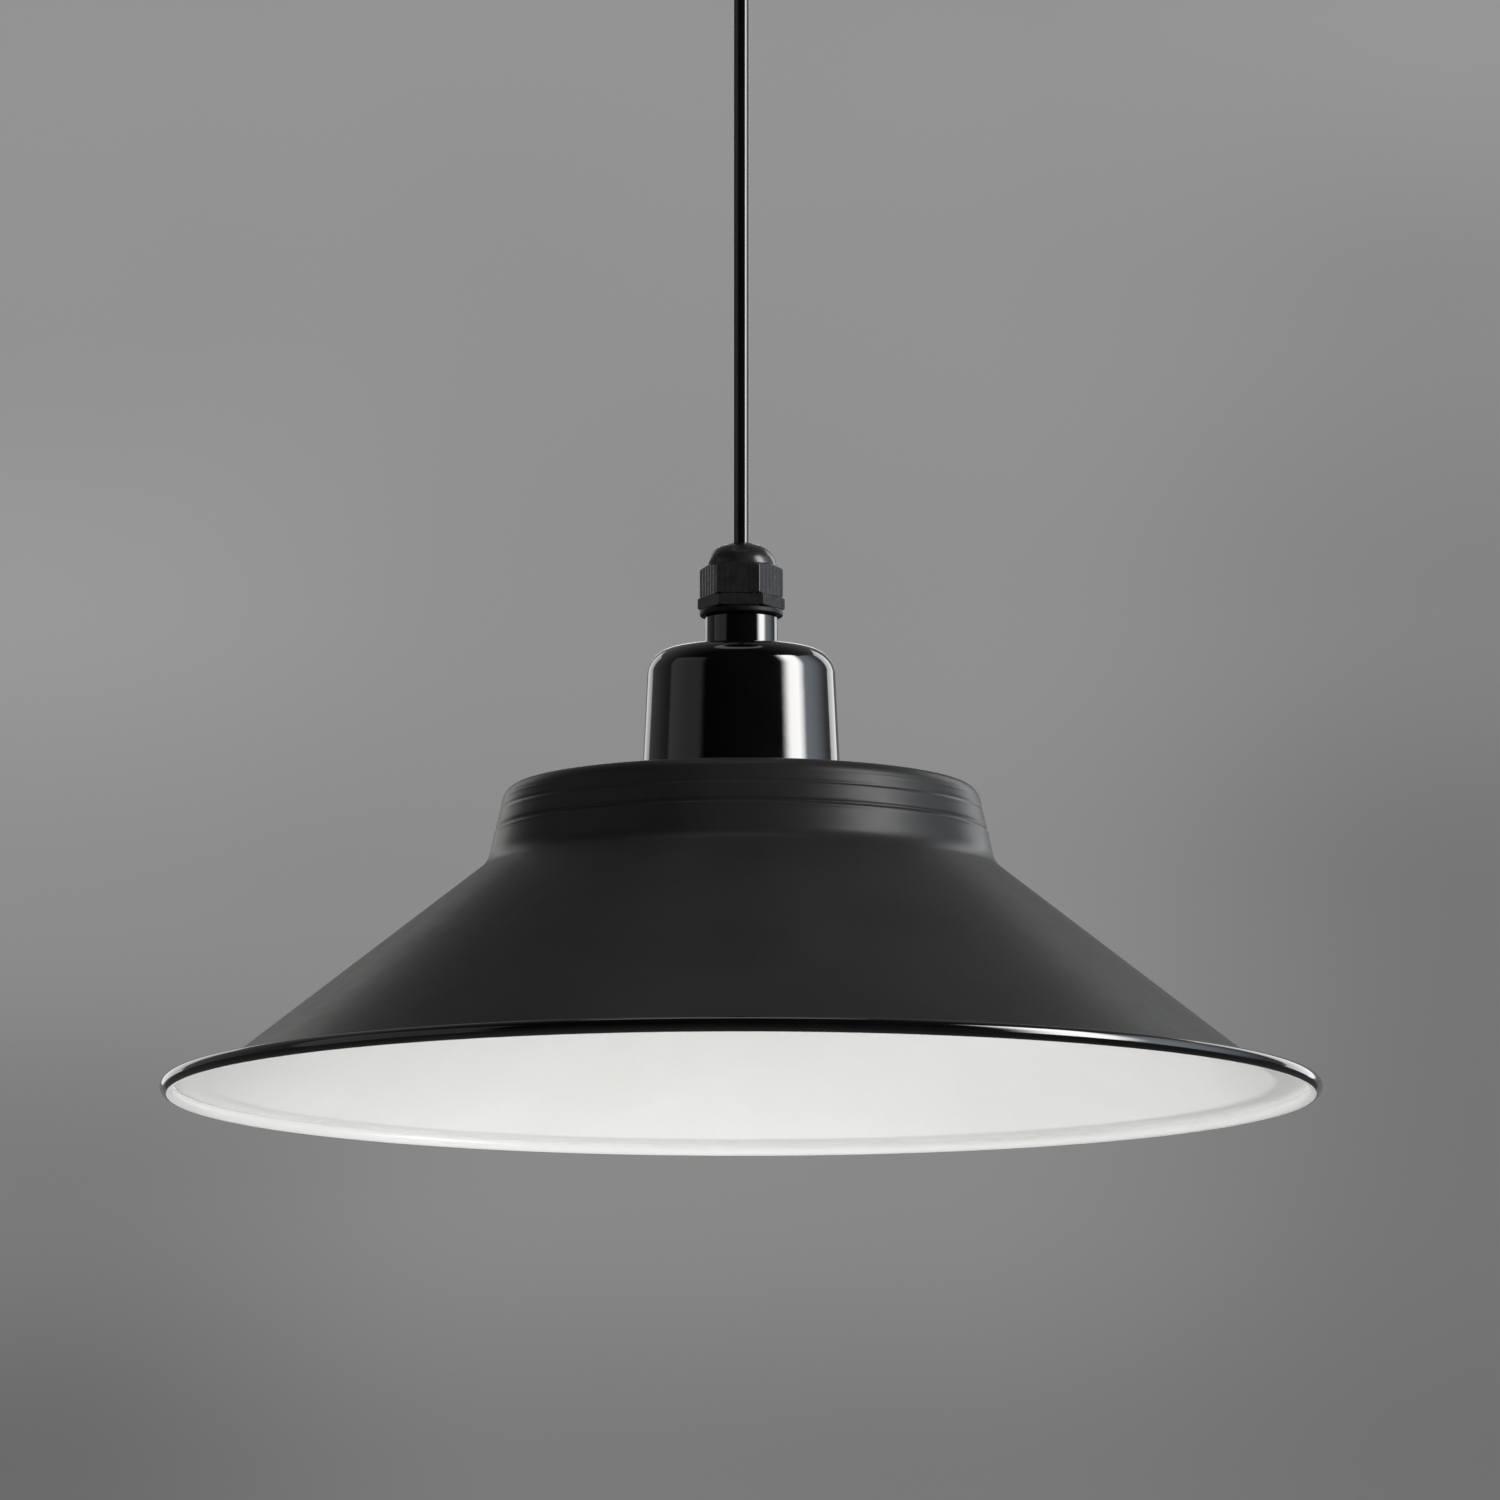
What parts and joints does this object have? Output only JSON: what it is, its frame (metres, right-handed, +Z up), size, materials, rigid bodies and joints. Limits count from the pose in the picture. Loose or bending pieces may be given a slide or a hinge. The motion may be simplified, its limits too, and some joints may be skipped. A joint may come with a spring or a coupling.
{
  "type": "pendant ceiling light",
  "caption": "Pendant ceiling light: wide cone shade with a short crown, a cap and a cable gland, hanging on a round cord below a ceiling canopy.",
  "frame": {"origin": "on the ceiling plane, at the middle of the ceiling bracket's upper face", "axes": "+Z up out of the bracket into the ceiling, +X along the bracket's strap; the lamp hangs down -Z"},
  "size_m": [0.36, 0.36, 0.396],
  "materials": {
    "satin_black": "satin",
    "gloss_black": "gloss",
    "enamel_white": "satin",
    "nylon_black": "satin",
    "rubber_black": "matte",
    "cord_black": "gloss",
    "bakelite_black": "gloss",
    "porcelain_white": "gloss",
    "zinc_steel": "satin",
    "brass": "satin",
    "opal_glass": "gloss",
    "bulb_cap_metal": "satin",
    "glass_black": "gloss",
    "wire_brown": "satin",
    "wire_blue": "satin",
    "wire_green_yellow": "satin"
  },
  "bodies": {
    "rose": {"ceiling_bracket": "zinc_steel", "canopy": "gloss_black", "canopy_screw_left": "zinc_steel", "canopy_screw_right": "zinc_steel", "cord_grip": "nylon_black", "cord_grip_nut": "zinc_steel", "terminal_block": "porcelain_white", "block_screw_front": "zinc_steel", "block_screw_back": "zinc_steel", "live_mains_screw": "brass", "live_lamp_screw": "brass", "earth_mains_screw": "brass", "earth_lamp_screw": "brass", "neutral_mains_screw": "brass", "neutral_lamp_screw": "brass", "canopy_live_wire": "wire_brown", "canopy_earth_wire": "wire_green_yellow", "canopy_neutral_wire": "wire_blue", "cord_upper_tail": "cord_black"},
    "cord_top": {"cord_throat": "cord_black"},
    "lamp": {"cord": "cord_black", "cord_lower_tail": "cord_black", "gland_body": "nylon_black", "gland_washer": "rubber_black", "gland_lock_nut": "zinc_steel", "neck": "gloss_black", "cap": "gloss_black", "holder_bridge": "zinc_steel", "bridge_screw_left": "zinc_steel", "bridge_screw_right": "zinc_steel", "bridge_earth_screw": "brass", "holder_body": "porcelain_white", "holder_skirt": "bakelite_black", "screw_shell": "brass", "centre_contact": "brass", "holder_live_screw": "brass", "holder_neutral_screw": "brass", "holder_live_wire": "wire_brown", "holder_neutral_wire": "wire_blue", "holder_earth_wire": "wire_green_yellow", "shade": "satin_black", "shade_ring": "bakelite_black"},
    "gland_seal": {"gland_seal": "rubber_black"},
    "gland_nut": {"gland_nut": "nylon_black"},
    "bulb_tip": {"bulb_contact": "brass"},
    "bulb": {"bulb_glass": "opal_glass", "bulb_base": "bulb_cap_metal", "bulb_insulator": "glass_black"}
  },
  "joints": [
    {"name": "cord_twist", "type": "hinge", "parent": "rose", "child": "cord_top", "pos_m": [0, 0, -0.034], "axis": [0, 0, 1], "range_deg": [-180, 180], "stiffness_Nm_per_rad": 0.004},
    {"name": "lamp_swing", "type": "hinge", "parent": "cord_top", "child": "lamp", "pos_m": [0, 0, -0.034], "axis": [0, 1, 0], "range_deg": [-20, 20]},
    {"name": "gland_nut_rise", "type": "slide", "parent": "lamp", "child": "gland_seal", "axis": [0, 0, 1], "range_m": [0, 0.003]},
    {"name": "gland_nut_turn", "type": "hinge", "parent": "gland_seal", "child": "gland_nut", "pos_m": [0, 0, -0.236], "axis": [0, 0, 1], "range_deg": [0, 720]},
    {"name": "bulb_out", "type": "slide", "parent": "lamp", "child": "bulb_tip", "axis": [0, 0, -1], "range_m": [0, 0.018]},
    {"name": "bulb_turn", "type": "hinge", "parent": "bulb_tip", "child": "bulb", "pos_m": [0, 0, -0.308], "axis": [0, 0, -1], "range_deg": [0, 1800]}
  ],
  "couplings": [
    {"joint": "gland_nut_turn", "follows": "gland_nut_rise", "rad_per_m": 4188.8},
    {"joint": "bulb_turn", "follows": "bulb_out", "rad_per_m": 1745.3}
  ]
}
